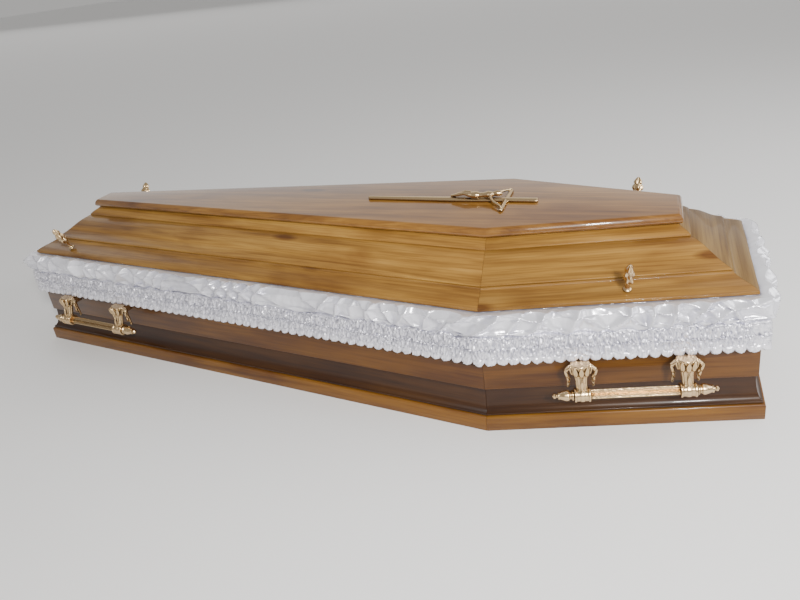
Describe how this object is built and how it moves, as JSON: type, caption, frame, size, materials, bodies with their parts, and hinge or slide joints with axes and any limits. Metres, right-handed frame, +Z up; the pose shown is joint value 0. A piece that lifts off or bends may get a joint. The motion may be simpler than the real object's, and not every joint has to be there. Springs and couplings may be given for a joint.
{
  "type": "coffin",
  "caption": "Six-sided wooden coffin with a stepped lid, satin edging over the rim, bar handles, lid screws and a crucifix on its flat top board.",
  "frame": {"origin": "on the floor under the middle of the coffin", "axes": "+X along the coffin towards its head end, +Y across towards the far side, +Z up"},
  "size_m": [2.0286, 0.697, 0.4369],
  "materials": {
    "wood": "glossy clear lacquer over honey-brown stained boards, with streaky grain along each board",
    "satin": "smooth white satin, puffed and folded, with a fine sheen",
    "gilt": "polished champagne-gold plating with darker recesses"
  },
  "bodies": {
    "root": {"cove_far_head_side": "wood", "cove_far_side": "wood", "cove_foot_end": "wood", "cove_head_end": "wood", "cove_near_head_side": "wood", "cove_near_side": "wood", "crucifix": "gilt", "floor_board": "wood", "handle_bar_far_foot": "gilt", "handle_bar_far_head": "gilt", "handle_bar_near_foot": "gilt", "handle_bar_near_head": "gilt", "handle_bracket_far_foot_a": "gilt", "handle_bracket_far_foot_b": "gilt", "handle_bracket_far_head_a": "gilt", "handle_bracket_far_head_b": "gilt", "handle_bracket_near_foot_a": "gilt", "handle_bracket_near_foot_b": "gilt", "handle_bracket_near_head_a": "gilt", "handle_bracket_near_head_b": "gilt", "lid_lower_frame_far_head_side": "wood", "lid_lower_frame_far_side": "wood", "lid_lower_frame_foot_end": "wood", "lid_lower_frame_head_end": "wood", "lid_lower_frame_near_head_side": "wood", "lid_lower_frame_near_side": "wood", "lid_middle_frame_far_head_side": "wood", "lid_middle_frame_far_side": "wood", "lid_middle_frame_foot_end": "wood", "lid_middle_frame_head_end": "wood", "lid_middle_frame_near_head_side": "wood", "lid_middle_frame_near_side": "wood", "lid_screw_far_foot": "gilt", "lid_screw_far_head": "gilt", "lid_screw_near_foot": "gilt", "lid_screw_near_head": "gilt", "lid_top_board": "wood", "lid_upper_frame_far_head_side": "wood", "lid_upper_frame_far_side": "wood", "lid_upper_frame_foot_end": "wood", "lid_upper_frame_head_end": "wood", "lid_upper_frame_near_head_side": "wood", "lid_upper_frame_near_side": "wood", "plinth_far_head_side": "wood", "plinth_far_side": "wood", "plinth_foot_end": "wood", "plinth_head_end": "wood", "plinth_near_head_side": "wood", "plinth_near_side": "wood", "ruched_band": "satin", "satin_frill": "satin", "wall_far_head_side": "wood", "wall_far_side": "wood", "wall_foot_end": "wood", "wall_head_end": "wood", "wall_near_head_side": "wood", "wall_near_side": "wood"}
  },
  "joints": []
}
